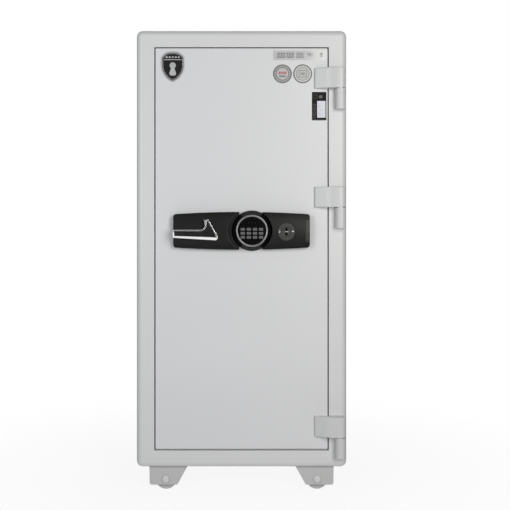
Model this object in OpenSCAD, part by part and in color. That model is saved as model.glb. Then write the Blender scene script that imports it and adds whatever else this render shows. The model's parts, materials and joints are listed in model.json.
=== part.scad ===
// Wheeled fireproof document safe.
// A folded steel cabinet with poured insulation, a hinged insulated door, throwing bolts worked by a
// lever handle, a key lock and a motor blocker, a round keypad with twelve keys, two shelves and a drawer.
// Units are millimetres. X runs to the right, Y from the front to the back, Z up. The origin is on the
// floor under the middle of the bounding box. Depth d is measured back from the front face.

/* [Cabinet] */
// Outside width of the steel cabinet
body_w = 560; // [556:2:580]
// Outside height of the steel cabinet, without the castors
body_h = 1164; // [1160:2:1176]
// Outside depth of the steel cabinet
body_d = 500; // [490:5:530]
// Height of the cabinet floor above the ground
lift = 65; // [64:1:70]
// Rounding of the long corners and of the front edges
edge_r = 16; // [14:1:18]
// Steel thickness of the outer shell
shell_t = 3; // [2:0.5:3]
// How far the handle stands in front of the cabinet face
proud = 44; // [44:1:48]

/* [Door] */
// Width of the door opening
open_w = 464; // [464:1:466]
// Height of the door opening
open_h = 1073; // [1073:1:1076]
// Gap all round the door
door_gap = 3; // [3:0.5:3.5]
// Depth of the door slab behind the face
slab_d = 28; // [28:0.1:28.4]
// Depth of the insulated plug behind the face
plug_d = 70; // [69.5:0.1:70]
// Depth of the back of the bolt cover
cover_d = 112; // [112:1:118]

/* [Hinges] */
// Heights where the turning half of each hinge meets the fixed half
hinge_z = [148, 756, 1071];
// Height of each half of a hinge
hinge_h = 54; // [48:1:58]
// Radius of the hinge barrels
barrel_r = 14; // [13:0.5:14]
// Radius of the hinge pins
pin_r = 6; // [5:0.5:7]

/* [Boltwork] */
// Radius of the live bolts
bolt_r = 11; // [10:0.5:11]
// Radius of the fixed bolts on the hinge side
dog_r = 10; // [9:0.5:10]
// Reach of the bolt tips from the middle of the door when drawn
bolt_tip = 187; // [184:1:187]

/* [Lock panel] */
// Width of the lock panel
panel_w = 360.6; // [356:0.2:362]
// Thickness of the panel at its crown
panel_t = 24; // [24:0.1:24.2]
// Radius of the crown
crown_r = 160; // [158:2:180]
// Spacing of the key columns
key_dx = 16; // [15.6:0.1:16]
// Spacing of the key rows
key_dz = 10.6; // [10.2:0.1:10.6]

/* [Castors] */
// Radius of the wheels
wheel_r = 29; // [28:0.5:29]
// Width of the wheels
wheel_w = 30; // [26:1:34]
// Distance of the wheels from the middle
castor_x = 203; // [200:1:206]

/* [Interior] */
// Height of the lower shelf
shelf_lo = 440; // [400:5:500]
// Height of the upper shelf
shelf_hi = 800; // [795:1:810]
// Thickness of the shelf sheet
shelf_t = 2; // [1.5:0.1:2.5]

/* [Output] */
// Sub-part to draw, or all of them

/* [Hidden] */
$fn = 64;
face_y = (proud - body_d) / 2;
z0 = lift;
z1 = lift + body_h;
dz = lift + body_h / 2;
door_w = open_w - 2 * door_gap;
door_h = open_h - 2 * door_gap;
jamb_w = open_w - 56;
jamb_h = open_h - 56;
plug_w = jamb_w - 18;
plug_h = jamb_h - 12;
step_d = slab_d + 3;
lip_d = plug_d + 6;
liner_w = 447;
liner_h = 1051;
liner_d = body_d - 58;
liner_t = 1.5;
cover_w = 356;
cover_h = 940;
hinge_x = body_w / 2 - 18;
hinge_d = -15;
bolt_z = [-400, -140, 140, 400];
bolt_d = 93;
dog_d = 94;
panel_z = 695;
panel_e = 44.51;
barrel_R = 2703;
pad_x = 27.3;
pad_z = 695.4;
spin_x = -82;
spin_z = 690;
lock_x = 118;
lock_z = 693;
wire_x = 30;
wire_z = 712;
rail_d = 90;
fit = 0.06;
castor_d = 44;
castor_z = wheel_r;

// ---------- shared shapes ----------

// Box between two widths, two depths and two heights
module fbox(x0, x1, d0, d1, za, zb)
    translate([x0, face_y + d0, za]) cube([x1 - x0, d1 - d0, zb - za]);

// Flat outline drawn in X and Z, thick from depth d0 to depth d1
module plate(d0, d1)
    translate([0, face_y + d1, 0]) rotate([90, 0, 0]) linear_extrude(d1 - d0) children();

// Round bar along the depth
module rod_y(x, z, r, d0, d1)
    translate([x, face_y + d0, z]) rotate([-90, 0, 0]) cylinder(r = r, h = d1 - d0);

// Round bar along the width
module rod_x(d, z, r, x0, x1)
    translate([x0, face_y + d, z]) rotate([0, 90, 0]) cylinder(r = r, h = x1 - x0);

// Upright round bar
module rod_z(x, d, r, za, zb)
    translate([x, face_y + d, za]) cylinder(r = r, h = zb - za);

// Turned shape about a line along the depth; the outline is radius against height in front of the face
module turned(x, z)
    translate([x, face_y, z]) rotate([90, 0, 0]) rotate_extrude() children();

// Rectangle with round corners, centred
module rrect(w, h, r)
{
    square([w - 2 * r, h], center = true);
    square([w, h - 2 * r], center = true);
    for (sx = [-1, 1], sz = [-1, 1])
        translate([sx * (w / 2 - r), sz * (h / 2 - r)]) circle(r);
}

// Rectangular ring centred on the door
module ring(w0, h0, w1, h1, d0, d1)
    difference()
    {
        fbox(-w0 / 2, w0 / 2, d0, d1, dz - h0 / 2, dz + h0 / 2);
        fbox(-w1 / 2, w1 / 2, d0 - 1, d1 + 1, dz - h1 / 2, dz + h1 / 2);
    }

// Block centred on the door
module block(w, h, d0, d1)
    fbox(-w / 2, w / 2, d0, d1, dz - h / 2, dz + h / 2);

// Cabinet block with round long corners, round front edges and ball corners
module body_block(inset, back)
{
    r = edge_r - inset;
    hw = body_w / 2 - inset;
    za = z0 + inset;
    zb = z1 - inset;
    plate(edge_r, back) translate([0, dz]) rrect(2 * hw, zb - za, r);
    fbox(-hw + r, hw - r, inset, edge_r + 1, za + r, zb - r);
    for (s = [-1, 1]) rod_z(s * (hw - r), edge_r, r, za + r, zb - r);
    for (z = [za + r, zb - r]) rod_x(edge_r, z, r, -hw + r, hw - r);
    for (s = [-1, 1], z = [za + r, zb - r])
        translate([s * (hw - r), face_y + edge_r, z]) sphere(r);
}

// ---------- cabinet ----------

// Folded outer wrap with the front frame around the door opening
module outer_shell()
{
    color([0.82, 0.82, 0.84]) difference()
    {
        body_block(0, body_d);
        body_block(shell_t, body_d + 1);
        block(open_w, open_h, -1, edge_r + 4);
    }
}

// Flat sheet closing the back
module back_panel()
{
    color([0.76, 0.76, 0.78]) plate(body_d - 3, body_d) translate([0, dz])
        rrect(body_w - 2 * shell_t, body_h - 2 * shell_t, edge_r - shell_t);
}

// Stepped steel jamb between the front frame and the liner
module door_frame()
{
    color([0.78, 0.78, 0.80]) union()
    {
        ring(open_w + 6, open_h + 6, open_w, open_h, shell_t, step_d + 1);
        ring(open_w + 6, open_h + 6, jamb_w, jamb_h, step_d, step_d + 3);
        ring(jamb_w + 6, jamb_h + 6, jamb_w, jamb_h, step_d + 2, lip_d);
        ring(liner_w, liner_h, jamb_w, jamb_h, lip_d - 3, lip_d);
    }
}

// Inner box
module inner_liner()
{
    color([0.80, 0.80, 0.80]) difference()
    {
        block(liner_w, liner_h, lip_d, liner_d);
        block(liner_w - 2 * liner_t, liner_h - 2 * liner_t, lip_d - 1, liner_d - liner_t);
    }
}

// Poured insulation between shell, jamb and liner
module cabinet_insulation()
{
    color([0.72, 0.70, 0.64]) difference()
    {
        body_block(shell_t, body_d - 3);
        block(open_w + 6, open_h + 6, shell_t - 1, step_d + 3);
        block(jamb_w + 6, jamb_h + 6, step_d, lip_d);
        block(liner_w, liner_h, lip_d - 3, liner_d);
    }
}

// Swelling seal on the jamb step
module fire_seal()
{
    color([0.15, 0.15, 0.15]) ring(446, 1055, 418, 1027, step_d - 2.4, step_d);
}

// One leg plate of a castor bracket
module leg(d0, d1)
    difference()
    {
        plate(d0, d1) polygon([[castor_x - 59, lift], [castor_x + 44, lift], [castor_x + 43.4, 18],
            [castor_x + 40, 14], [castor_x - 30, 14], [castor_x - 32.5, 17]]);
        rod_y(castor_x, castor_z, 8, d0 - 1, d1 + 1);
    }

// Repeat for the four castors
module four()
    for (sx = [0, 1], sy = [0, 1])
        translate([0, sy * (2 * face_y + body_d), 0]) mirror([sx, 0, 0]) mirror([0, sy, 0]) children();

// Four open fork brackets welded under the cabinet
module castor_brackets()
{
    half = wheel_w / 2 + 4;
    color([0.70, 0.70, 0.71]) four() union()
    {
        leg(castor_d - half - 5, castor_d - half);
        leg(castor_d + half, castor_d + half + 5);
        fbox(castor_x - 54, castor_x + 44, castor_d - half - 5, castor_d + half + 5, lift - 5, lift);
    }
}

// Bolts the wheels turn on
module castor_axles()
{
    half = wheel_w / 2 + 4;
    color([0.72, 0.72, 0.74]) four() union()
    {
        rod_y(castor_x, castor_z, 8, castor_d - half - 6, castor_d + half + 6);
        turned(castor_x, castor_z) polygon([[0, -castor_d + half + 5], [10, -castor_d + half + 5],
            [10, -castor_d + half + 8], [8.6, -castor_d + half + 10.2], [6, -castor_d + half + 11.4],
            [0, -castor_d + half + 12]]);
        rod_y(castor_x, castor_z, 12, castor_d + half + 5, castor_d + half + 12);
    }
}

// Solid castor wheel
module wheel(sx, back)
{
    w = wheel_w / 2;
    d = back ? body_d - castor_d : castor_d;
    color([0.62, 0.62, 0.63]) turned(sx * castor_x, castor_z)
        polygon([[8 + fit, -d - w], [14, -d - w], [15, -d - w + 1.5], [wheel_r - 7, -d - w + 1.5],
            [wheel_r - 5, -d - w], [wheel_r - 2, -d - w], [wheel_r, -d - w + 2], [wheel_r, -d + w - 2],
            [wheel_r - 2, -d + w], [wheel_r - 5, -d + w], [wheel_r - 7, -d + w - 1.5],
            [15, -d + w - 1.5], [14, -d + w], [8 + fit, -d + w]]);
}
module wheel_front_left() wheel(-1, false);
module wheel_front_right() wheel(1, false);
module wheel_rear_left() wheel(-1, true);
module wheel_rear_right() wheel(1, true);

// Fixed halves of the three hinges
module hinge_barrels()
{
    color([0.78, 0.78, 0.80]) for (z = hinge_z) difference()
    {
        union()
        {
            rod_z(hinge_x, hinge_d, barrel_r, z - hinge_h, z);
            fbox(hinge_x - 12, hinge_x + 2, hinge_d, 0, z - hinge_h, z);
        }
        rod_z(hinge_x, hinge_d, pin_r, z - hinge_h + 4, z + 1);
    }
}

// Hinge pins with their washers
module hinge_pins()
{
    color([0.60, 0.60, 0.62]) for (z = hinge_z) union()
    {
        rod_z(hinge_x, hinge_d, pin_r, z - hinge_h + 4, z + hinge_h - 3);
        rod_z(hinge_x, hinge_d, barrel_r - 1, z, z + 1.5);
    }
}

// ---------- interior ----------

// Sheet shelf with a turned-down front lip
module shelf(z)
{
    color([0.74, 0.74, 0.75]) union()
    {
        fbox(-220, 220, 130, liner_d - 4, z, z + shelf_t);
        fbox(-220, 220, 130, 130 + shelf_t, z - 18, z + shelf_t);
    }
}
module shelf_upper() shelf(shelf_hi);
module shelf_lower() shelf(shelf_lo);

// Angle clips the shelves rest on
module shelf_brackets()
{
    side = liner_w / 2 - liner_t;
    color([0.66, 0.66, 0.68]) for (z = [shelf_lo, shelf_hi], s = [0, 1], d = [160, 390]) mirror([s, 0, 0])
        difference()
        {
            fbox(side - 14, side, d, d + 30, z - 20, z);
            fbox(side - 15, side - 2, d - 1, d + 31, z - 21, z - 2);
        }
}

// Fixed sleeve of the drawer, hung under the upper shelf
module drawer_housing()
{
    color([0.70, 0.70, 0.72]) difference()
    {
        fbox(-202, 202, 250, liner_d - 4, shelf_hi - 128, shelf_hi);
        fbox(-200.5, 200.5, 249, liner_d - 5.5, shelf_hi - 126.5, shelf_hi - 1.5);
    }
}

// Drawer with a flat front
module drawer_box()
{
    zb = shelf_hi - 126.4;
    color([0.76, 0.76, 0.77]) union()
    {
        fbox(-200, 200, 250, 252, zb, shelf_hi - 2.5);
        difference()
        {
            fbox(-199.5, 199.5, 251, liner_d - 12, zb, shelf_hi - 22);
            fbox(-198, 198, 252, liner_d - 13.5, zb + 1.5, shelf_hi - 21);
        }
    }
}

// Bar pull of the drawer
module drawer_pull()
{
    color([0.75, 0.76, 0.78]) union()
    {
        rod_x(238, shelf_hi - 62, 4, -46, 46);
        for (x = [-38, 38]) rod_y(x, shelf_hi - 62, 3, 238, 250);
    }
}

// ---------- door ----------

// Front sheet of the door with turned edges
module door_skin()
{
    color([0.81, 0.81, 0.83]) difference()
    {
        plate(0, slab_d - 2) translate([0, dz]) rrect(door_w, door_h, 3);
        block(door_w - 6, door_h - 6, 3, slab_d);
        rod_y(spin_x, spin_z, 7 + fit, -1, 4);
        rod_y(lock_x, lock_z, 10.5, -1, 4);
        rod_y(wire_x, wire_z, 3.5, -1, 4);
    }
}

// Back pan of the door with the raised plug
module door_pan()
{
    color([0.80, 0.80, 0.81]) difference()
    {
        union()
        {
            plate(slab_d - 2, slab_d) translate([0, dz]) rrect(door_w, door_h, 3);
            block(plug_w, plug_h, slab_d - 1, plug_d);
        }
        block(plug_w - 4, plug_h - 4, slab_d - 3, plug_d - 2);
        rod_y(spin_x, spin_z, 7 + fit, plug_d - 3, plug_d + 1);
        rod_y(lock_x, lock_z, 10 + fit, plug_d - 3, plug_d + 1);
        rod_y(wire_x, wire_z, 3.5, plug_d - 3, plug_d + 1);
    }
}

// Poured insulation in the door
module door_insulation()
{
    color([0.72, 0.70, 0.64]) difference()
    {
        union()
        {
            block(door_w - 6, door_h - 6, 3, slab_d - 2);
            block(plug_w - 4, plug_h - 4, slab_d - 3, plug_d - 2);
        }
        rod_y(spin_x, spin_z, 9, 2, plug_d);
        rod_y(lock_x, lock_z, 12, 2, plug_d);
        rod_y(wire_x, wire_z, 5, 2, plug_d);
    }
}

// Sheet cover over the boltwork
module boltwork_cover()
{
    color([0.78, 0.78, 0.80]) difference()
    {
        block(cover_w, cover_h, plug_d, cover_d);
        block(cover_w - 4, cover_h - 4, plug_d - 1, cover_d - 2);
        for (z = bolt_z)
        {
            rod_x(bolt_d, dz + z, bolt_r + 0.8, -cover_w / 2 - 1, -cover_w / 2 + 3);
            rod_x(dog_d, dz + z, dog_r + 0.8, cover_w / 2 - 3, cover_w / 2 + 1);
        }
        for (x = [-165, 165], z = [-457, 0, 457]) rod_y(x, dz + z, 2, cover_d - 3, cover_d + 1);
        for (z = [-457, 457]) rod_y(0, dz + z, 2, cover_d - 3, cover_d + 1);
    }
}

// One cover screw with its spacer sleeve
module screw(x, z)
{
    rod_y(x, z, 4.5, plug_d, cover_d - 2);
    rod_y(x, z, 2, cover_d - 3, cover_d + 1);
    difference()
    {
        turned(x, z) polygon([[0, -cover_d], [5, -cover_d], [5, -cover_d - 1], [3.4, -cover_d - 2.4],
            [0, -cover_d - 2.8]]);
        for (w = [[0.5, 2.6], [2.6, 0.5]])
            fbox(x - w[0], x + w[0], cover_d + 1.4, cover_d + 3, z - w[1], z + w[1]);
    }
}
module cover_screws()
{
    color([0.55, 0.55, 0.57])
    {
        for (x = [-165, 165], z = [-457, 0, 457]) screw(x, dz + z);
        for (z = [-457, 457]) screw(0, dz + z);
    }
}

// Turning halves of the three hinges
module hinge_straps()
{
    x0 = door_w / 2 - 35;
    color([0.79, 0.79, 0.81]) for (z = hinge_z) difference()
    {
        translate([0, face_y, z + 1.6]) linear_extrude(hinge_h) union()
        {
            polygon([[x0, 0], [x0, -7], [x0 + 3, -9], [x0 + 27, -20], [x0 + 45, -29], [hinge_x, -29],
                [hinge_x, -1.5], [door_w / 2, -1.5], [door_w / 2, 0]]);
            translate([hinge_x, hinge_d]) circle(barrel_r);
        }
        rod_z(hinge_x, hinge_d, pin_r + 0.05, z, z + hinge_h - 1.4);
    }
}

// Fixed bolts on the hinge side with their blocks
module fixed_bolts()
{
    color([0.62, 0.63, 0.65]) for (z = bolt_z) union()
    {
        fbox(150, 168, plug_d, 108, dz + z - 18, dz + z + 18);
        rod_x(dog_d, dz + z, dog_r, 167, 212);
        translate([212, face_y + dog_d, dz + z]) rotate([0, 90, 0])
            cylinder(r1 = dog_r, r2 = dog_r - 2, h = 2);
    }
}

// Blocks the live bolts run in
module bolt_guides()
{
    color([0.58, 0.58, 0.60]) for (z = bolt_z) difference()
    {
        fbox(-172, -150, plug_d, 108, dz + z - 18, dz + z + 18);
        rod_x(bolt_d, dz + z, bolt_r + fit, -173, -149);
    }
}

// ---------- lock panel ----------

// Slightly barrel-shaped outline of the panel
module panel_outline()
    intersection()
    {
        union()
        {
            square([panel_w - 16, 120], center = true);
            rrect(panel_w, 2 * panel_e, 8);
        }
        translate([0, 50 - barrel_R]) circle(barrel_R, $fn = 1440);
        translate([0, barrel_R - 50]) circle(barrel_R, $fn = 1440);
    }

// Solid with the crowned front of the panel
module crowned()
    intersection()
    {
        plate(-panel_t, 0) translate([0, panel_z]) panel_outline();
        translate([-200, face_y - panel_t + crown_r, panel_z]) rotate([0, 90, 0])
            cylinder(r = crown_r, h = 400, $fn = 360);
    }

// Moulded panel: two wings joined by the round base of the keypad
module lock_panel()
{
    color([0.10, 0.10, 0.10]) difference()
    {
        union()
        {
            difference()
            {
                crowned();
                fbox(-6, 56, -30, 1, panel_z - 80, panel_z + 80);
                rod_y(pad_x, pad_z, 54, -40, -8);
                rod_y(pad_x - 12.6, pad_z, 52, -40, -14);
            }
            rod_y(pad_x, pad_z, 53.5, -8, 0);
        }
        rod_y(lock_x, lock_z, 24.5, -30, -20);
        rod_y(lock_x, lock_z, 10.5, -21, 1);
        rod_y(spin_x, spin_z, 8, -30, 1);
        rod_y(wire_x, wire_z, 3.5, -9, 1);
        fbox(147, 182, -20.8, 1, panel_z - 26.3, panel_z + 26.3);
        fbox(168.2, 182, -30, 1, panel_z - 29.3, panel_z + 29.3);
    }
}

// Cone-shaped rim around the keypad
module keypad_bezel()
{
    color([0.08, 0.08, 0.08]) turned(pad_x, pad_z)
        polygon([[40, 8], [53.5, 8], [43.5, 34], [42.3, 34], [42.3, 30], [40, 30]]);
}

// Bright ring around the keypad
module keypad_ring()
{
    color([0.80, 0.81, 0.83]) turned(pad_x, pad_z)
        polygon([[36.6, 30], [42.3, 30], [42.3, 36.2], [40.8, 38], [38.4, 38], [36.6, 36.4]]);
}

// Position of a key from its column and row
function key_at(c, r) = [pad_x + (c - 1.5) * key_dx, pad_z + 4 - r * key_dz];

// Round face with the holes of the twelve keys
module keypad_face()
{
    color([0.06, 0.06, 0.06]) difference()
    {
        union()
        {
            rod_y(pad_x, pad_z, 39.9, -30, -26);
            rod_y(pad_x, pad_z, 36.5, -33, -29);
        }
        for (c = [0 : 3], r = [0 : 2]) plate(-34, -25) translate(key_at(c, r)) rrect(11.6, 7.6, 1.8);
    }
}

// Circuit board behind the keys, on three posts
module keypad_board()
{
    color([0.12, 0.32, 0.20]) union()
    {
        rod_y(pad_x, pad_z, 34, -15.6, -14);
        for (a = [90, 210, 330])
            rod_y(pad_x + 28 * cos(a), pad_z + 28 * sin(a), 2.5, -15, -8);
    }
}

// One key with its stop flange and its stem
module key(c, r)
{
    p = key_at(c, r);
    color([0.72, 0.73, 0.74]) union()
    {
        plate(-34.4, -25.6) translate(p) rrect(11.2, 7.2, 1.6);
        plate(-25.8, -24.4) translate(p) rrect(13.2, 9.2, 2.2);
        rod_y(p[0], p[1], 1.8, -25, -17);
    }
}
module key_1() key(0, 0);
module key_2() key(1, 0);
module key_3() key(2, 0);
module key_4() key(3, 0);
module key_5() key(0, 1);
module key_6() key(1, 1);
module key_7() key(2, 1);
module key_8() key(3, 1);
module key_9() key(0, 2);
module key_0() key(1, 2);
module key_star() key(2, 2);
module key_hash() key(3, 2);

// Round plate around the keyhole
module key_escutcheon()
{
    color([0.30, 0.30, 0.29]) turned(lock_x, lock_z)
        polygon([[10 + fit, 20], [24.5, 20], [24.5, 26.6], [22.4, 29], [13, 29], [12, 28.2],
            [10 + fit, 28.2]]);
}

// Case of the key lock
module lock_case()
{
    color([0.62, 0.60, 0.50]) difference()
    {
        fbox(96, 142, plug_d, 101, 638, 716);
        fbox(98, 140, plug_d + 2, 99, 640, 714);
        rod_y(lock_x, lock_z, 10.5, plug_d - 1, plug_d + 3);
        fbox(lock_x - 6.8, lock_x + 6.8, rail_d - 0.3, rail_d + 6.3, 637, 641);
    }
}

// Motor that drives the blocking pin
module lock_motor()
{
    color([0.55, 0.56, 0.58]) difference()
    {
        fbox(wire_x - 12, wire_x + 12, plug_d, 100, 640, 690);
        rod_z(wire_x, bolt_d, 5 + fit, 639, 680);
    }
}

// Lead from the board through the door to the motor
module lock_cable()
{
    color([0.10, 0.10, 0.12]) union()
    {
        rod_y(wire_x, wire_z, 2.5, -14, 82);
        translate([wire_x, face_y + 82, wire_z]) sphere(2.5);
        rod_z(wire_x, 82, 2.5, 690, wire_z);
    }
}

// Shield-shaped badge without any mark
module shield_badge()
{
    color([0.12, 0.12, 0.13]) plate(-2, 0) translate([-183, 1090.4]) intersection()
    {
        union()
        {
            translate([-31.5, 45]) square([63, 40]);
            intersection()
            {
                translate([-16.4, 45]) circle(47.9, $fn = 180);
                translate([16.4, 45]) circle(47.9, $fn = 180);
                translate([-40, -5]) square([80, 51]);
            }
        }
        translate([0, 21.2]) circle(60, $fn = 180);
        translate([0, 45]) union()
        {
            circle(37.5, $fn = 180);
            translate([-40, -60]) square([80, 62]);
        }
    }
}

// ---------- moving parts of the door ----------

// Lever handle frame with a pocket for the insert
module handle_lever()
{
    color([0.80, 0.81, 0.83]) difference()
    {
        plate(-proud, -25) union()
        {
            polygon([[-180, 679], [-178, 677], [-69, 670.5], [-65.2, 671.6], [-62.8, 674.6],
                [-62.2, 678.6], [-63.4, 683], [-86, 724], [-98.5, 724], [-98.5, 722], [-96, 716],
                [-96, 698.5], [-178, 698.5], [-180, 696.5]]);
            difference()
            {
                translate([-107, 698]) square([11.5, 11.5]);
                translate([-107, 709.5]) circle(11);
            }
        }
        plate(-proud - 1, -proud + 3) lever_field();
        rod_y(spin_x, spin_z, 7, -35, -24);
    }
}

// Outline of the field inside the lever frame
module lever_field()
    polygon([[-176, 682], [-176, 694.6], [-105, 694.6], [-98, 697.5], [-93.6, 701.8], [-92, 708],
        [-92, 720], [-88.2, 720], [-67.6, 682.6], [-68.2, 679.4], [-70.4, 678.4]]);

// Dark inlay of the lever
module handle_insert()
{
    color([0.10, 0.10, 0.10]) plate(-proud + 0.8, -proud + 3) lever_field();
}

// Spindle through the door with its crank arm and pin
module handle_spindle()
{
    color([0.60, 0.60, 0.62]) union()
    {
        rod_y(spin_x, spin_z, 7, -35, 88.5);
        plate(82, 88.5) union()
        {
            translate([spin_x, spin_z]) circle(11);
            translate([spin_x, spin_z]) rotate(-60) translate([0, -8]) square([30, 16]);
            translate([spin_x, spin_z]) rotate(-60) translate([30, 0]) circle(8);
        }
        rod_y(spin_x + 15, spin_z - 25.98, 5, 88, 97);
    }
}

// Bar that carries the live bolts, with its crank slot and the notches of the blockers
module bolt_bar()
{
    color([0.66, 0.66, 0.68]) difference()
    {
        union()
        {
            fbox(-116, -110, 80, 106, dz - 425, dz + 425);
            fbox(-111, -50, rail_d, rail_d + 6, 606, 680);
            fbox(-111, 165, rail_d, rail_d + 6, 606, 634);
        }
        fbox(spin_x + 9.45, spin_x + 20.55, rail_d - 1, rail_d + 7, 653, 671);
        for (x = [wire_x, wire_x + 30]) fbox(x - 5.5, x + 5.5, rail_d - 1, rail_d + 7, 622, 635);
        for (x = [lock_x, lock_x + 30]) fbox(x - 7.5, x + 7.5, rail_d - 1, rail_d + 7, 622, 635);
    }
}

// Four round bolts thrown behind the jamb
module live_bolts()
{
    color([0.72, 0.73, 0.75]) for (z = bolt_z) union()
    {
        rod_x(bolt_d, dz + z, bolt_r, -bolt_tip + 2, -116);
        translate([-bolt_tip, face_y + bolt_d, dz + z]) rotate([0, 90, 0])
            cylinder(r1 = bolt_r - 2, r2 = bolt_r, h = 2);
    }
}

// Turning plug of the key lock
module key_plug()
{
    color([0.70, 0.70, 0.70]) difference()
    {
        union()
        {
            rod_y(lock_x, lock_z, 10, -28.5, 89);
            rod_y(lock_x + 5, lock_z + 5, 2, 88, 97);
        }
        rod_y(lock_x, lock_z, 4, -30, 31.5);
        fbox(lock_x - 1.1, lock_x + 1.1, -30, 31.5, lock_z - 8, lock_z + 8);
    }
}

// Sliding bolt of the key lock
module lock_bolt()
{
    color([0.68, 0.62, 0.42]) difference()
    {
        union()
        {
            fbox(lock_x - 14, lock_x + 14, rail_d, rail_d + 6, 651, 709);
            fbox(lock_x - 6.5, lock_x + 6.5, rail_d, rail_d + 6, 636, 652);
        }
        fbox(lock_x + 2.4, lock_x + 10, rail_d - 1, rail_d + 7, lock_z + 2.5, lock_z + 7.5);
    }
}

// Pin that the motor drops into the bolt bar
module blocking_pin()
{
    color([0.72, 0.73, 0.75]) rod_z(wire_x, bolt_d, 5, 636, 676);
}

// Tray that slides out of the side of the panel
module battery_tray()
{
    color([0.11, 0.11, 0.11]) difference()
    {
        union()
        {
            fbox(148, 170, -20.4, -1.2, panel_z - 26, panel_z + 26);
            intersection()
            {
                crowned();
                fbox(168.5, 182, -30, -1.2, panel_z - 29, panel_z + 29);
            }
        }
        fbox(149.4, 176.8, -19.3, 0, panel_z - 24.6, panel_z + 24.6);
    }
}

// Block battery
module battery()
{
    color([0.20, 0.20, 0.22]) union()
    {
        fbox(149.8, 176.3, -19.2, -1.7, panel_z - 24.3, panel_z + 22.4);
        for (x = [156.6, 169.4]) rod_z(x, -10.4, 3, panel_z + 22, panel_z + 24.2);
    }
}

// ---------- drawing ----------

outer_shell();
back_panel();
door_frame();
inner_liner();
cabinet_insulation();
fire_seal();
castor_brackets();
castor_axles();
hinge_barrels();
hinge_pins();
shelf_upper();
shelf_lower();
shelf_brackets();
drawer_housing();
wheel_front_left();
wheel_front_right();
wheel_rear_left();
wheel_rear_right();
door_skin();
door_pan();
door_insulation();
boltwork_cover();
cover_screws();
hinge_straps();
fixed_bolts();
bolt_guides();
lock_panel();
keypad_bezel();
keypad_ring();
keypad_face();
keypad_board();
key_escutcheon();
lock_case();
lock_motor();
lock_cable();
shield_badge();
handle_lever();
handle_insert();
handle_spindle();
bolt_bar();
live_bolts();
key_plug();
lock_bolt();
blocking_pin();
battery_tray();
battery();
drawer_box();
drawer_pull();
key_1();
key_2();
key_3();
key_4();
key_5();
key_6();
key_7();
key_8();
key_9();
key_0();
key_star();
key_hash();
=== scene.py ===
# %% [markdown]
# # A fireproof document safe on wheels
# The safe is a steel cabinet filled with mineral, a heavy door with boltwork, a lock panel with a
# keypad, a lever and a key lock, and four wheels. The sizes and the joints come from the packed
# frame. This lesson gives every part its edges, its small details and its finish, and then sets up
# a plain studio.

# %% Load the frame
import json
import math

import bmesh
import bpy
from mathutils import Matrix, Vector


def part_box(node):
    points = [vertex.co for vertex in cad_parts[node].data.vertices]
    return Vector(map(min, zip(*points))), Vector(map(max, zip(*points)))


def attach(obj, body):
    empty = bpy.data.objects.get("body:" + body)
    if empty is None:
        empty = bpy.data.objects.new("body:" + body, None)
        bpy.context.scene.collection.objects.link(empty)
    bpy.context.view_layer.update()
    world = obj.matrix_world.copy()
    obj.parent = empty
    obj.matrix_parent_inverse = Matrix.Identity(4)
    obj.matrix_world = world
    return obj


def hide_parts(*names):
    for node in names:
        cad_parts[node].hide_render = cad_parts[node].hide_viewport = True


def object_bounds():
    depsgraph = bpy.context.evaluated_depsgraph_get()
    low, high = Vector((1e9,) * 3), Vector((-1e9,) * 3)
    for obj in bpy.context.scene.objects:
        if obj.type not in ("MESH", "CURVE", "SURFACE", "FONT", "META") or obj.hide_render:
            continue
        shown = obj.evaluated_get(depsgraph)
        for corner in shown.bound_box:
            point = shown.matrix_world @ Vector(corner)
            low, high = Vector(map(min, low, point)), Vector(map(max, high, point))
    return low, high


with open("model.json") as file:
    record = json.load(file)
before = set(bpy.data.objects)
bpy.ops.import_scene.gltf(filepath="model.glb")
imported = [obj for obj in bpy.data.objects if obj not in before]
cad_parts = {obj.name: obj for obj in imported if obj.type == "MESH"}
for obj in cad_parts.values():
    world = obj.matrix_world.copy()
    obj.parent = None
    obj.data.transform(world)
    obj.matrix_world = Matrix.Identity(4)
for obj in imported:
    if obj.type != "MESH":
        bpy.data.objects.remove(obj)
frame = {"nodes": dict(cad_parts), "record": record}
cad_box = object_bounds()

# %% [markdown]
# ## Places and units
# Most sizes below are in millimetres, because that is how sheet metal is drawn. Depth is counted
# back from the front face of the door, so a negative depth stands out of the door. Every other
# place is read from the box of the part that it belongs to.

# %% Places
MM = 0.001
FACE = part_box("door_skin")[0].y


def spot(x, depth, z):
    """A point from its width, its depth behind the door face and its height, in millimetres."""
    return Vector((x * MM, FACE + depth * MM, z * MM))


def middle(node):
    """Width and height of the middle of a part, in millimetres."""
    low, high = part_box(node)
    return (low.x + high.x) / 2 / MM, (low.z + high.z) / 2 / MM


PAD = middle("keypad_ring")
LOCK = middle("key_escutcheon")
print("keypad at", [round(v, 1) for v in PAD], "key lock at", [round(v, 1) for v in LOCK])

# %% [markdown]
# ## Writing node trees as sums
# A node tree is easier to read as arithmetic than as a list of links. `Wire` wraps one socket and
# knows + - * / and **, with a number on either side of the first three. `Graph` adds any other
# node: its settings first, then the values or wires of its sockets. Materials and Geometry Nodes
# share it.


# %% Wires and graphs
class Wire:
    """A socket that can be used in sums."""

    def __init__(self, graph, socket):
        self.graph, self.socket = graph, socket

    def sum(self, operation, a, b):
        return self.graph.node("ShaderNodeMath", {"operation": operation}, {0: a, 1: b})

    def __add__(self, other):
        return self.sum("ADD", self, other)

    def __sub__(self, other):
        return self.sum("SUBTRACT", self, other)

    def __rsub__(self, other):
        return self.sum("SUBTRACT", other, self)

    def __mul__(self, other):
        return self.sum("MULTIPLY", self, other)

    def __truediv__(self, other):
        return self.sum("DIVIDE", self, other)

    def __pow__(self, other):
        return self.sum("POWER", self, other)

    __radd__, __rmul__ = __add__, __mul__


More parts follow.
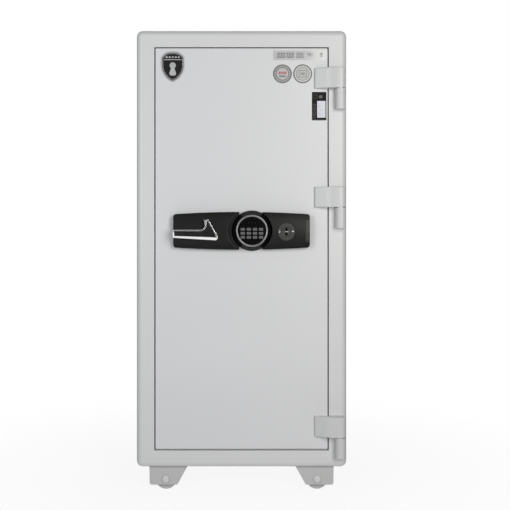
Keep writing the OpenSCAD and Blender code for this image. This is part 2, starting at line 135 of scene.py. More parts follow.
class Graph:
    """A node tree under construction."""

    def __init__(self, tree):
        self.tree = tree

    def feed(self, socket, value):
        if isinstance(value, Wire):
            self.tree.links.new(value.socket, socket)
        else:
            socket.default_value = value

    def node(self, kind, settings=None, sockets=None, out=0):
        made = self.tree.nodes.new(kind)
        for key, value in (settings or {}).items():
            if key == "stops":
                ramp = made.color_ramp.elements
                while len(ramp) < len(value):
                    ramp.new(1.0)
                for element, (place, colour) in zip(ramp, value):
                    element.position, element.color = place, colour
            else:
                setattr(made, key, value)
        for key, value in (sockets or {}).items():
            self.feed(made.inputs[key], value)
        return Wire(self, made.outputs[out])


print("graph helpers ready")

# %% [markdown]
# ## A finish
# Every finish here is one Principled shader. What is the same all over the surface is set on the
# shader itself. What varies, such as mottled colour, roughness and fine bump, comes from noise in
# the part's own coordinates, which stay with the part when it moves.


# %% The finish class
def grey(value, warm=0.0):
    """A grey with a little warmth (or coolness, if negative)."""
    return (value * (1 + max(warm, 0.0)), value, value * (1 - warm), 1.0)


class Finish(Graph):
    """A procedural material."""

    def __init__(self, name, fixed=None):
        self.material = bpy.data.materials.new(name)
        self.material.use_nodes = True
        super().__init__(self.material.node_tree)
        self.tree.nodes.clear()
        self.shader = self.tree.nodes.new("ShaderNodeBsdfPrincipled")
        end = self.tree.nodes.new("ShaderNodeOutputMaterial")
        self.tree.links.new(self.shader.outputs[0], end.inputs[0])
        self.where = self.node("ShaderNodeTexCoord", out="Object")
        for key, value in (fixed or {}).items():
            self.shader.inputs[key].default_value = value

    def moved(self, scale=(1, 1, 1), place=(0, 0, 0)):
        return self.node("ShaderNodeMapping", {"vector_type": "POINT"},
                         {"Vector": self.where, "Scale": scale, "Location": place})

    def noise(self, scale, detail=2.0, where=None):
        return self.node("ShaderNodeTexNoise", None,
                         {"Vector": where or self.where, "Scale": scale, "Detail": detail})

    def axes(self, place):
        """The three coordinates counted from a place, in millimetres."""
        moved = self.moved((1000, 1000, 1000), tuple(-1000 * v for v in place))
        split = self.node("ShaderNodeSeparateXYZ", None, {0: moved})
        outputs = split.socket.node.outputs
        return [Wire(self, socket) for socket in outputs]

    def ramp(self, value, low, high, bottom=0.0, top=1.0):
        """Runs smoothly from bottom to top while value runs from low to high."""
        return self.node("ShaderNodeMapRange", {"interpolation_type": "SMOOTHSTEP"},
                         {"Value": value, "From Min": low, "From Max": high, "To Min": bottom,
                          "To Max": top})

    def blend(self, amount, low, high):
        return self.node("ShaderNodeMix", {"data_type": "RGBA"}, {0: amount, 6: low, 7: high}, 2)

    def set(self, colour=None, rough=None, height=None, rise=0.1, strength=0.3, metal=None):
        if colour is not None:
            self.feed(self.shader.inputs["Base Color"], colour)
        if rough is not None:
            self.feed(self.shader.inputs["Roughness"], rough)
        if metal is not None:
            self.feed(self.shader.inputs["Metallic"], metal)
        if height is not None:
            bump = self.node("ShaderNodeBump", None, {"Height": height, "Distance": rise * MM,
                                                      "Strength": strength})
            self.feed(self.shader.inputs["Normal"], bump)
        return self


print("finish class ready")

# %% [markdown]
# ## Powder coat
# The cabinet is powder coated in a light silver grey. Powder coat melts into a skin with very
# fine, shallow waves called orange peel, and its tone drifts by a per cent or two over a large
# sheet. Two noises, one broad and one fine, give both.


# %% Powder coat finishes
def powder_coat(name, tone, warm=-0.012, gloss=0.36, dust=0.0):
    """Satin paint with orange peel and faint dark specks, which dust makes stronger."""
    f = Finish(name, {"Coat Weight": 0.18, "Coat Roughness": 0.22, "Specular IOR Level": 0.45})
    drift = f.noise(2.6, 3.0)
    peel = f.noise(520.0, 2.0)
    grain = f.noise(2400.0, 1.0)
    tint = f.blend(drift, grey(tone * 0.965, warm), grey(tone * 1.03, warm))
    fleck = f.blend(f.ramp(grain, 0.62, 0.72, 0.0, 0.10 + dust), tint, grey(tone * 0.82, warm))
    return f.set(fleck, gloss + 0.10 * drift + 0.06 * peel, peel + 0.4 * grain, 0.10, 0.22)


cabinet_coat = powder_coat("cabinet powder coat", 0.640)
door_coat = powder_coat("door powder coat", 0.655, warm=-0.026)
# The hinges wear the cabinet's paint; their darker tone is painted shade for the shade that falls
# on the straps and barrels.
hinge_shaded_coat = powder_coat("hinge powder coat", 0.575, gloss=0.30)
inside_coat = powder_coat("inside powder coat", 0.56, warm=-0.004, gloss=0.46)
castor_coat = powder_coat("castor powder coat", 0.50, warm=-0.004, gloss=0.44, dust=0.08)
# The axle bolts are painted lighter than the castor paint; part of that lighter tone is a painted
# highlight on their heads.
bolt_coat_and_highlight = powder_coat("axle bolt coat", 0.62, gloss=0.45)
print("powder coats:", cabinet_coat.material.name, "and five more")

# %% [markdown]
# ## Bare metals
# Turned and drawn steel carries fine lines in one direction. Stretching the noise along one axis
# makes such lines. Chrome has almost none, only faint smears that change how sharp it reflects.
# The underside of the lever is brushed to a satin, which catches more light than a mirror does.
# The keypad ring is a smoked chrome and the plug of the lock a black nickel.


# %% Metal finishes
def drawn_metal(name, tone, warm, rough, stretch=(40, 900, 900), lines=0.3):
    """Bare metal with fine lines along the axis where stretch is smallest."""
    f = Finish(name, {"Metallic": 1.0})
    streak = f.noise(1.0, 3.0, f.moved(stretch))
    stain = f.noise(45.0, 3.0)
    colour = f.blend(streak * 0.5 + stain * 0.5, grey(tone * 0.86, warm), grey(tone * 1.08, warm))
    return f.set(colour, rough + 0.16 * streak + 0.10 * stain - 0.1, streak, 0.02, lines)


def chrome_plate(name, tone=0.86, rough=0.07, satin_below=None):
    """Bright chrome; below a given height it turns into the milky satin of a brushed underside."""
    f = Finish(name, {"Metallic": 1.0})
    smear = f.noise(60.0, 3.0)
    ripple = f.noise(240.0, 2.0)
    satin = 0.0
    if satin_below is not None:
        across, _, high = f.axes(spot(*satin_below))
        satin = 1 - f.ramp(high + across * 0.12, -2.0, 0.6)
    return f.set(f.blend(smear, grey(tone * 0.95, -0.01), grey(tone, -0.01)),
                 f.ramp(smear, 0.45, 0.8) * 0.10 + rough + satin * 0.25, ripple, 0.02, 0.08,
                 None if satin_below is None else 1 - satin * 0.6)


bolt_steel = drawn_metal("drawn bolt steel", 0.62, 0.0, 0.26)
zinc_plate = drawn_metal("zinc plate", 0.60, -0.01, 0.34, (700, 700, 60))
yellow_zinc = drawn_metal("yellow zinc plate", 0.58, 0.10, 0.36, (700, 700, 60))
motor_can = drawn_metal("motor can", 0.52, -0.01, 0.40, (500, 500, 30))
nickel_plug = drawn_metal("black nickel plug", 0.055, 0.02, 0.34, (900, 900, 900), 0.15)
lever_chrome = chrome_plate("lever chrome", 0.86, 0.15, (-120, 0, 684))
ring_chrome = chrome_plate("ring chrome", 0.30, 0.28)
badge_chrome = chrome_plate("badge chrome", 0.52, 0.36)
pull_chrome = chrome_plate("pull chrome", 0.78, 0.16)
print("metals:", bolt_steel.material.name, lever_chrome.material.name)

# %% [markdown]
# ## Plastics
# The lock panel is moulded with a satin, finely sparked texture. The rim, the keypad face and the
# inlay of the lever are glossy. Keys are matt with faint mould grain.


# %% Plastic finishes
def moulded(name, tone, rough, grain_scale=1500.0, grain_rise=0.03, warm=0.02, coat=0.0, shine=0.3):
    """Plastic with a fine mould grain; shine is how strongly it mirrors the room."""
    f = Finish(name, {"Coat Weight": coat, "Coat Roughness": 0.08, "Specular IOR Level": shine})
    grain = f.noise(grain_scale, 2.0)
    haze = f.noise(28.0, 3.0)
    colour = f.blend(haze * 0.6 + grain * 0.4, grey(tone * 0.85, warm), grey(tone * 1.2, warm))
    return f.set(colour, rough + 0.12 * haze + 0.05 * grain - 0.06, grain, grain_rise, 0.35)


panel_black = moulded("satin panel black", 0.0085, 0.30, shine=0.22)
rim_black = moulded("gloss rim black", 0.006, 0.28, 2200.0, 0.008, shine=0.03)
face_black = moulded("gloss face black", 0.003, 0.14, 2400.0, 0.004, warm=0.0, shine=0.12)
tray_black = moulded("tray end black", 0.032, 0.38, 1500.0, 0.03)
mark_white = moulded("bright mark", 0.62, 0.34, 1500.0, 0.01, warm=0.0)
inlay_black = moulded("lever inlay black", 0.010, 0.26, 1800.0, 0.02)
disc_grey = moulded("key plate grey", 0.034, 0.34, 1200.0, 0.03)
key_grey = moulded("key cap grey", 0.11, 0.42, 1300.0, 0.02, warm=0.0)
ink_black = moulded("key digit ink", 0.018, 0.5, 1600.0, 0.01)
window_black = moulded("display window", 0.003, 0.08, 900.0, 0.002, warm=0.0, shine=0.12)
lead_rubber = moulded("lead rubber", 0.015, 0.62, 900.0, 0.05)
seal_rubber = moulded("swelling seal", 0.018, 0.70, 700.0, 0.12)
wheel_grey = powder_coat("wheel enamel", 0.47, warm=0.0, gloss=0.40, dust=0.12)
print("plastics:", panel_black.material.name, face_black.material.name)

# %% [markdown]
# ## Fill, board and battery
# These are seen only when something is opened. The fill is a pale mineral cast with pores, the
# board is green lacquer over copper tracks, and the battery has a dark sleeve with a light band.


# %% Hidden finishes
def mineral_fill():
    """Pale cast mineral; its pores are painted darker, a painted shade in the holes."""
    f = Finish("mineral fill", {"Roughness": 0.92})
    body = f.noise(60.0, 5.0)
    pores = f.node("ShaderNodeTexVoronoi", None, {"Vector": f.where, "Scale": 240.0})
    # Painted shade: the colour darkens towards the middle of each pore.
    hole = f.ramp(pores, 0.08, 0.24)
    colour = f.blend(hole, grey(0.30, 0.08), f.blend(body, grey(0.46, 0.06), grey(0.58, 0.05)))
    return f.set(colour, None, hole + 0.5 * body, 0.8, 0.6)


def green_board():
    """Green lacquer, paler where a track lies under it."""
    f = Finish("lacquered board", {"Coat Weight": 0.5, "Coat Roughness": 0.15})
    tracks = f.node("ShaderNodeTexBrick", None, {"Vector": f.where, "Scale": 160.0,
                    "Color1": grey(0.0), "Color2": grey(0.3), "Mortar": grey(1.0),
                    "Mortar Size": 0.05})
    lacquer = f.noise(90.0)
    colour = f.blend(tracks, (0.012, 0.085, 0.035, 1), (0.05, 0.20, 0.08, 1))
    return f.set(colour, 0.30 + 0.15 * lacquer, lacquer, 0.02, 0.2)


def battery_sleeve():
    """A dark sleeve with a light band round its upper half."""
    low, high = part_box("battery")
    f = Finish("battery sleeve", {"Coat Weight": 0.3, "Coat Roughness": 0.1})
    height = f.axes((0, 0, low.z))[2]
    band = f.ramp(height, 31.0, 31.6) * (1 - f.ramp(height, 39.0, 39.6))
    wear = f.noise(300.0)
    return f.set(f.blend(band, grey(0.03), (0.55, 0.42, 0.20, 1)), 0.28 + 0.2 * wear, wear, 0.03)


fill_grey, board_green, sleeve = mineral_fill(), green_board(), battery_sleeve()
print("hidden finishes:", fill_grey.material.name, board_green.material.name)

# %% [markdown]
# ## From solid to finished part
# A CAD solid has perfectly sharp edges, and nothing real does: sheet is folded over a radius and
# cut edges are broken. Each solid is copied, its loose triangles are joined, its flat faces are
# cleaned, and a small bevel of the right size is put on its edges. The copy then stands for it.


# %% Helpers that finish a part
SLOT = {s["node"]: s["material_slot"] for s in frame["record"]["subparts"]}
BODY = {n: b for b, nodes in frame["record"]["behaviour"]["bodies"].items() for n in nodes}


def soft_edges(mesh, angle, small, reach):
    """Marks the sharp edges to be rounded: loops longer than small, in front of depth reach."""
    build = bmesh.new()
    build.from_mesh(mesh)
    weight = build.edges.layers.float.new("bevel_weight_edge")
    sharp = {e for e in build.edges if e.is_manifold and e.calc_face_angle(0) > math.radians(angle)}
    while sharp:
        loop, front = set(), [sharp.pop()]
        while front:
            edge = front.pop()
            loop.add(edge)
            joined = {e for v in edge.verts for e in v.link_edges if e in sharp}
            sharp -= joined
            front += joined
        if sum(e.calc_length() for e in loop) >= small * MM:
            for edge in loop:
                depth = max(v.co.y for v in edge.verts) - FACE
                edge[weight] = 1.0 if reach is None or depth < reach * MM else 0.0
    build.to_mesh(mesh)
    build.free()


def evaluated(piece):
    """The mesh of a piece with its modifiers applied."""
    graph = bpy.context.evaluated_depsgraph_get()
    old, piece.data = piece.data, bpy.data.meshes.new_from_object(
        piece.evaluated_get(graph), depsgraph=graph)
    piece.modifiers.clear()
    piece.data.name = piece.name
    bpy.data.meshes.remove(old)
    return piece.data


def settle(piece, width=0.0, segments=2, angle=30.0, small=0.0, reach=None):
    """Rounds sharp edges, evens the shading and leaves a plain mesh."""
    if width:
        soft_edges(piece.data, angle, small, reach)
        edge = piece.modifiers.new("edges", "BEVEL")
        edge.width, edge.segments, edge.limit_method = width * MM, segments, "WEIGHT"
        edge.use_clamp_overlap = False
        evaluated(piece)
    mesh = piece.data
    mesh.polygons.foreach_set("use_smooth", [True] * len(mesh.polygons))
    mesh.set_sharp_from_angle(angle=math.radians(46 if width else angle))
    even = piece.modifiers.new("shading", "WEIGHTED_NORMAL")
    even.keep_sharp = True
    evaluated(piece)
    return piece


def place(name, build, finish):
    """Puts a bmesh in the scene as a piece with one finish."""
    mesh = bpy.data.meshes.new(name)
    build.to_mesh(mesh)
    build.free()
    mesh.materials.append(finish.material)
    piece = bpy.data.objects.new(name, mesh)
    bpy.context.scene.collection.objects.link(piece)
    return piece


def join_to(piece, body, slot, *nodes):
    """Parents a piece to the body it moves with and hides the parts it stands for; slot, what it is
    made of, is not used.
    """
    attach(piece, body)
    if nodes:
        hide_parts(*nodes)
    return piece


def refine(node, finish, width, segments=2, small=0.0, reach=None):
    """A finished copy of a CAD part."""
    build = bmesh.new()
    build.from_mesh(frame["nodes"][node].data)
    bmesh.ops.remove_doubles(build, verts=build.verts, dist=0.002 * MM)
    bmesh.ops.dissolve_limit(build, angle_limit=math.radians(0.25), verts=build.verts,
                             edges=build.edges)
    piece = settle(place(node + "_finished", build, finish), width, segments, 30.0, small, reach)
    return join_to(piece, BODY[node], SLOT[node], node)


print(len(SLOT), "slots and", len(BODY), "parts known")

# %% [markdown]
# ## The cabinet and its inside
# The outer wrap is folded from one sheet. Its front edges are already rounded in the solid, so only
# the cut edge of the door opening is broken. Inside are the stepped jamb, the liner, two shelves on
# clips and a drawer. The outer face of the back panel sinks by the height of its rivets, so that
# the rivets stay within the depth of the cabinet.

# %% Finish the cabinet
CABINET = [
    ("outer_shell", cabinet_coat, 0.7), ("back_panel", cabinet_coat, 0.6),
    ("door_frame", inside_coat, 0.8), ("inner_liner", inside_coat, 0.5),
    ("castor_brackets", castor_coat, 0.45, 2, 90), ("castor_axles", bolt_coat_and_highlight, 0.4),
    ("hinge_barrels", hinge_shaded_coat, 1.0, 3, 0, -4.0), ("hinge_pins", zinc_plate, 0.3),
    ("shelf_upper", inside_coat, 0.6), ("shelf_lower", inside_coat, 0.6),
    ("shelf_brackets", zinc_plate, 0.4), ("drawer_housing", inside_coat, 0.4),
    ("drawer_box", inside_coat, 0.23), ("drawer_pull", pull_chrome, 0.0),
]
for node, finish, *sizes in CABINET:
    refine(node, finish, *sizes)
RIVET_SINK = 1.9 * MM
for vertex in bpy.data.objects["back_panel_finished"].data.vertices:
    if vertex.co.y > cad_box[1][1] - 0.9 * MM:
        vertex.co.y -= RIVET_SINK
for corner in ("front_left", "front_right", "rear_left", "rear_right"):
    refine("wheel_" + corner, wheel_grey, 0.6)
print("finished", len(CABINET), "cabinet parts and four wheels")

# %% [markdown]
# ## The door and its boltwork
# The door skin is a tray with a tight fold, so it gets the largest bevel. The straps of the hinges
# are thick bent plate. The bolts are drawn bar with broken edges, in guides screwed to the pan.

# %% Finish the door
DOOR = [
    ("door_skin", door_coat, 0.95, 3, 150), ("door_pan", inside_coat, 0.7, 2, 150),
    ("boltwork_cover", inside_coat, 0.8, 2, 150), ("cover_screws", zinc_plate, 0.0),
    ("hinge_straps", hinge_shaded_coat, 2.0, 3, 0, -2.4), ("fixed_bolts", bolt_steel, 0.48),
    ("bolt_guides", zinc_plate, 0.38), ("lock_case", yellow_zinc, 0.3),
    ("lock_motor", motor_can, 0.7), ("bolt_bar", zinc_plate, 0.5),
    ("live_bolts", bolt_steel, 0.5), ("handle_spindle", bolt_steel, 0.4),
    ("lock_bolt", yellow_zinc, 0.5), ("blocking_pin", bolt_steel, 0.5),
    ("battery", sleeve, 0.14),
]
for node, finish, *sizes in DOOR:
    refine(node, finish, *sizes)
print("finished", len(DOOR), "door parts")

# %% [markdown]
# ## The lock panel
# The panel is one moulding with softly rounded edges. The rim, ring and face of the keypad are
# turned shapes. The lever is a casting: its edges are polished over, so its bevel is wide and
# catches a bright line all round.

# %% Finish the lock panel
PANEL = [
    ("lock_panel", panel_black, 0.28, 2, 40, -1.0), ("battery_tray", tray_black, 0.54, 2),
    ("keypad_bezel", rim_black, 0.47, 3), ("keypad_ring", ring_chrome, 0.7, 3),
    ("keypad_face", face_black, 0.3, 2, 30), ("key_escutcheon", disc_grey, 0.8, 3),
    ("key_plug", nickel_plug, 0.25, 2), ("handle_lever", lever_chrome, 0.9, 3, 40, -30.0),
    ("handle_insert", inlay_black, 0.4, 2),
]
for node, finish, *sizes in PANEL:
    refine(node, finish, *sizes)
KEYS = ["1", "2", "3", "4", "5", "6", "7", "8", "9", "0", "star", "hash"]
for key in KEYS:
    refine("key_" + key, key_grey, 0.45, 3, 30)
print("finished", len(PANEL), "panel parts and", len(KEYS), "keys")

# %% [markdown]
# ## Parts that keep their solid
# The fill, the board, the lead and the seal are hidden most of the time. Their solids are right as
# they are, so they only get a finish.

# %% Finish the hidden solids
HIDDEN = {"cabinet_insulation": fill_grey, "door_insulation": fill_grey,
          "keypad_board": board_green, "lock_cable": lead_rubber, "fire_seal": seal_rubber}
for node, finish in HIDDEN.items():
    mesh = frame["nodes"][node].data
    mesh.materials.clear()
    mesh.materials.append(finish.material)
print("kept", len(HIDDEN), "solids")

# %% [markdown]
# ## Flat and turned details
# Badges, labels and inlays are thin plates cut to an outline. `plate` makes one from a list of
# points, `turned` spins a profile about an axis that points out of the door. Both give closed
# shapes whose faces point outwards.


# %% Plate and turned helpers
def plate(name, outline, front, back, finish, bevel=0.0, hole=None):
    """A plate with the given outline (width, height), from its front depth to its back depth."""
    build = bmesh.new()
    rings = []
    for points in [outline] + ([hole] if hole else []):
        rings.append([[build.verts.new(spot(x, d, z)) for x, z in points] for d in (front, back)])
    for near, far in rings:
        for i in range(len(near)):
            j = (i + 1) % len(near)
            build.faces.new((near[i], near[j], far[j], far[i]))
    if hole:
        for level in (0, 1):
            outer, inner = rings[0][level], rings[1][level]
            for i in range(len(outer)):
                j = (i + 1) % len(outer)
                build.faces.new((outer[i], outer[j], inner[j], inner[i]))
    else:
        build.faces.new(rings[0][0])
        build.faces.new(rings[0][1])
    bmesh.ops.recalc_face_normals(build, faces=build.faces)
    return settle(place(name, build, finish), bevel)


def turned(name, centre, profile, finish, steps=96, bevel=0.0):
    """Spins a profile of (radius, depth) points about a line out of the door."""
    build = bmesh.new()
    rows = [[build.verts.new(spot(centre[0] + r * math.cos(a), d, centre[1] + r * math.sin(a)))
             for r, d in profile] for a in (2 * math.pi * i / steps for i in range(steps))]
    for i in range(steps):
        for k in range(len(profile)):
            m = (k + 1) % len(profile)
            build.faces.new((rows[i][k], rows[i][m], rows[i - 1][m], rows[i - 1][k]))
    bmesh.ops.remove_doubles(build, verts=build.verts, dist=0.001 * MM)
    loose = [edge for edge in build.edges if not edge.link_faces]
    bmesh.ops.delete(build, geom=loose, context="EDGES")
    bmesh.ops.recalc_face_normals(build, faces=build.faces)
    return settle(place(name, build, finish), bevel)


def round_box(x, z, width, height, radius, steps=6):
    """Outline of a rectangle with round corners."""
    points = []
    for turn, (sx, sz) in enumerate(((1, 1), (-1, 1), (-1, -1), (1, -1))):
        for i in range(steps + 1):
            a = math.radians(90 * turn + 90 * i / steps)
            points.append((x + sx * (width / 2 - radius) + radius * math.cos(a),
                           z + sz * (height / 2 - radius) + radius * math.sin(a)))
    return points


def circle(x, z, radius, steps=72):
    """Outline of a circle."""
    return [(x + radius * math.cos(2 * math.pi * i / steps),
             z + radius * math.sin(2 * math.pi * i / steps)) for i in range(steps)]


print("plate and turned helpers ready")

# %% [markdown]
# ## The shield badge
# The badge is a small pressed shield: a bright rim, a dark field, a thin bright line inside, five
# small bars over a band, and a plain keyhole as a neutral mark. The outline is found by walking out
# from the middle until the rule of the shape is broken, so every inner line is the same outline,
# moved inwards.

# %% Make the badge
badge_low, badge_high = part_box("shield_badge")
BADGE_X, BADGE_Z = (badge_low.x + badge_high.x) / 2 / MM, badge_low.z / MM


def in_shield(x, z, inset):
    """Whether a point lies inside the circles and lines of the shield, moved inwards by inset."""
    side = math.hypot(abs(x) + 16.4, z - 45) < 47.9 - inset if z < 45 else abs(x) < 31.5 - inset
    top = z < 45 or math.hypot(x, z - 45) < 37.5 - inset
    return side and top and math.hypot(x, z - 21.2) < 60 - inset


def shield(inset, steps=96):
    """The shield outline moved inwards by inset millimetres."""
    edge = []
    for i in range(steps):
        a = 2 * math.pi * i / steps - math.pi / 2
        near, far = 0.0, 60.0
        for _ in range(40):
            half = (near + far) / 2
            inside = in_shield(half * math.cos(a), 44 + half * math.sin(a), inset)
            near, far = (half, far) if inside else (near, half)
        edge.append((BADGE_X + near * math.cos(a), BADGE_Z + 44 + near * math.sin(a)))
    return edge


RAISED = (-1.5, -1.05)
field_black = moulded("badge field black", 0.012, 0.22, 1400.0, 0.02, coat=0.1)
rim = plate("badge_rim", shield(0), -2.0, 0.0, badge_chrome, 0.5, hole=shield(3.4))
join_to(rim, "door", "badge_metal", "shield_badge")
field = plate("badge_field", shield(3.4), -1.1, 0.0, field_black)
line = plate("badge_line", shield(5.0), *RAISED, badge_chrome, 0.1, hole=shield(6.1))
hub_x, hub_z = BADGE_X, BADGE_Z + 50
key_outline = [(hub_x + 8.4 * math.sin(math.radians(a)),
                hub_z - 6 + 8.4 * math.cos(math.radians(a))) for a in range(-148, 149, 8)]
key_outline += [(hub_x + x, hub_z + z)
                for x, z in ((9.6, -28), (5.5, -33), (-5.5, -33), (-9.6, -28))]
mark = plate("badge_keyhole", key_outline, -1.6, *RAISED[1:], badge_chrome, 0.2)
band = plate("badge_band", round_box(hub_x, hub_z + 9.5, 47, 2.0, 0.8), *RAISED, badge_chrome)
dots = [plate("badge_dot_%d" % (n + 1),
              round_box(hub_x - 16 + 8 * n, hub_z + 16.2, 5.0, 4.2, 1.0),
              *RAISED, badge_chrome) for n in range(5)]
for piece in [field, line, mark, band] + dots:
    join_to(piece, "door", "badge_metal")
print("badge of", len(shield(0)), "outline points")

# %% [markdown]
# ## Labels without words
# Such a door carries a strip label, two round marks and a rating plate. Here they hold only rows of
# short bars, rings and plain squares, so nothing on them can be read. The bars come from a
# brick pattern, and each label is a real plate a fifth of a millimetre thick.


# %% Label finishes and plates
def bars(f, place, long, tall, gap):
    """A mask of short bars in rows, counted from a place: 1 on a bar."""
    x, _, z = f.axes(place)
    spread = f.node("ShaderNodeCombineXYZ", None, {0: x, 1: z})
    cut = f.node("ShaderNodeTexBrick", {"offset": 0.37, "squash": 0.72, "squash_frequency": 3},
                 {"Vector": spread, "Scale": 1.0, "Brick Width": long, "Row Height": tall,
                  "Mortar Size": gap, "Mortar Smooth": 0.1, "Color1": grey(1), "Color2": grey(1),
                  "Mortar": grey(0)}, 1)
    return 1 - cut


def window_mask(f, x, z, cx, cz, half_x, half_z, soft=0.3):
    """1 inside a rectangle around (cx, cz), 0 outside."""
    dx, dz = ((x - cx) ** 2.0) ** 0.5, ((z - cz) ** 2.0) ** 0.5
    return f.ramp(dx, half_x + soft, half_x) * f.ramp(dz, half_z + soft, half_z)


def foil_label(name, centre, tone, ink, blocks, strength=0.5, metal=0.5, row=3.2, shine=(0.0, 0.0)):
    """Foil with rows of ink bars in blocks of (middle x, middle z, half width, half height); over
    the span of width given by shine a painted sheen lightens the foil.
    """
    home = spot(centre[0], 0, centre[1])
    dark = tone < 0.1
    f = Finish(name, {"Coat Weight": 0.0 if dark else 0.2, "Coat Roughness": 0.2,
                      "Specular IOR Level": 0.06 if dark else 0.5})
    x, _, z = f.axes(home)
    inside = 0.0
    for block in blocks:
        inside = window_mask(f, x, z, *block) + inside
    mask = bars(f, home, 2 * row, row, 0.9) * inside * strength if blocks else f.noise(90.0) * 0.05
    wave = f.noise(35.0, 3.0)
    cool = -0.10 if tone > 0.55 else -0.01
    foil = f.blend(wave, grey(tone * 0.9, cool - 0.02), grey(tone * 1.08, cool))
    # Painted sheen: over the span given by shine the foil turns a lighter grey towards its right
    # end.
    foil = f.blend(f.ramp(x, *shine) if shine[1] else wave * 0.0, foil, grey(0.62))
    return f.set(f.blend(mask, foil, grey(ink)), 0.28 + 0.2 * wave, wave + mask, 0.02, 0.3,
                 metal - metal * mask)


def ring_label(name, centre, stops, emblem):
    """A round mark: rings of tone from the middle outwards, with a plain emblem in the middle."""
    home = spot(centre[0], 0, centre[1])
    f = Finish(name, {"Coat Weight": 0.25, "Coat Roughness": 0.2})
    x, _, z = f.axes(home)
    reach = (x * x + z * z) ** 0.5
    rings = f.node("ShaderNodeValToRGB", {"stops": stops}, {0: reach / SEAL_RADIUS})
    turn = f.node("ShaderNodeMath", {"operation": "ARCTAN2"}, {0: z, 1: x})
    dash = f.ramp(f.node("ShaderNodeMath", {"operation": "SINE"}, {0: turn * 22.0}), -0.1, 0.4)
    band = f.ramp(reach, 18.2, 18.6) * f.ramp(reach, 21.6, 21.2)
    haze = f.noise(160.0, 3.0)
    marked = f.blend(band * dash * 0.55, rings, grey(0.75))
    for mask, colour in emblem(f, x, z):
        marked = f.blend(mask, marked, colour)
    return f.set(f.blend(f.ramp(haze, 0.5, 0.8, 0.0, 0.22), marked, grey(0.30)),
                 0.30 + 0.15 * haze, haze, 0.01, 0.2)


def bar_stack(f, x, z):
    """Three red bars side by side over a short dark one."""
    red = 0.0
    for place in (-7.4, 0.0, 7.4):
        red = window_mask(f, x, z, place, 2.4, 2.9, 3.2, 0.8) + red
    under = window_mask(f, x, z, 0, -6.4, 8.5, 1.5, 0.8)
    return [(red * 0.85, (0.40, 0.09, 0.12, 1)), (under * 0.85, grey(0.07))]


def ruled_square(f, x, z):
    """A square outline with two bars in it."""
    outline = window_mask(f, x, z, 0, 0, 10.2, 9.4) - window_mask(f, x, z, 0, 0, 8.8, 8.0)
    inner = (window_mask(f, x, z, 0, 1.6, 5.6, 1.1, 0.6)
             + window_mask(f, x, z, 0.8, -2.0, 4.0, 0.9, 0.6))
    return [(outline * 0.85, grey(0.09)), (inner * 0.75, grey(0.10))]


STRIP, SEAL_A, SEAL_B = (155.5, 1161.6), (108.8, 1112.5), (162.6, 1112.5)
RATING, VALUES, STAMP = (206.4, 1026.4), (212.2, 1018.1), (196.0, 1052.5)
SHEET, PRINT = (-0.22, -0.02), (-0.30, -0.22)
SEAL_RADIUS = 25.25
# The last pair of numbers is the span of the painted sheen on the strip.
strip_foil = foil_label("strip foil", STRIP, 0.46, 0.02,
                        [(-50, 1, 11, 7.5), (-26, 1, 10, 7.5), (0, 1, 10, 7.5),
                         (26, 2, 7, 4), (56, 2, 4, 6)],
                        0.95, 0.12, 3.8, (10.0, 60.0))
rings_a = [(0.0, grey(0.47)), (0.60, grey(0.45)), (0.64, grey(0.10)), (0.68, grey(0.20)),
           (0.88, grey(0.17)), (0.92, grey(0.08)), (0.985, grey(0.22))]
rings_b = [(0.0, grey(0.44)), (0.63, grey(0.46)), (0.67, grey(0.08)), (0.71, grey(0.40)),
           (0.75, grey(0.46)), (0.86, grey(0.42)), (0.91, grey(0.04)), (0.985, grey(0.14))]
mark_a = ring_label("round mark red", SEAL_A, rings_a, bar_stack)
mark_b = ring_label("round mark grey", SEAL_B, rings_b, ruled_square)
plate_black = foil_label("rating plate black", (206.4, 1026.0), 0.012, 0.20,
                         [(-12.5, -12, 4.2, 20), (0, -35.5, 18.5, 2.2)], 0.45, 0.0, 3.4)
plate_white = foil_label("rating plate panel", VALUES, 0.60, 0.12,
                         [(-6, 9, 3, 3), (3, -2, 7, 1.0), (-5, -13, 2.5, 3)], 0.5, 0.0, 3.0)
labels = [
    plate("label_strip", round_box(*STRIP, 142.2, 26.0, 1.5), *SHEET, strip_foil),
    plate("label_round_left", circle(*SEAL_A, SEAL_RADIUS), *SHEET, mark_a),
    plate("label_round_right", circle(*SEAL_B, SEAL_RADIUS), *SHEET, mark_b),
    plate("label_plate", round_box(*RATING, 38.6, 75.6, 1.5), *SHEET, plate_black),
    plate("label_plate_panel", round_box(*VALUES, 22.2, 44.4, 0.5), *PRINT, plate_white),
    plate("label_plate_ring", circle(*STAMP, 6.2), *PRINT, disc_grey, 0, circle(*STAMP, 4.9)),
    plate("label_plate_chip", round_box(210.6, 1051.5, 8.6, 7.4, 1.0), *PRINT, key_grey),
]
for label in labels:
    join_to(label, "door", "bezel_plastic")
print("made", len(labels), "labels")

# %% [markdown]
# ## Digits on the keys
# Numbers on a keypad are printed flush. Built-in lettering is turned into a mesh first, then stood
# upright and moved to the front of its key, so each digit rides on the key that it belongs to.

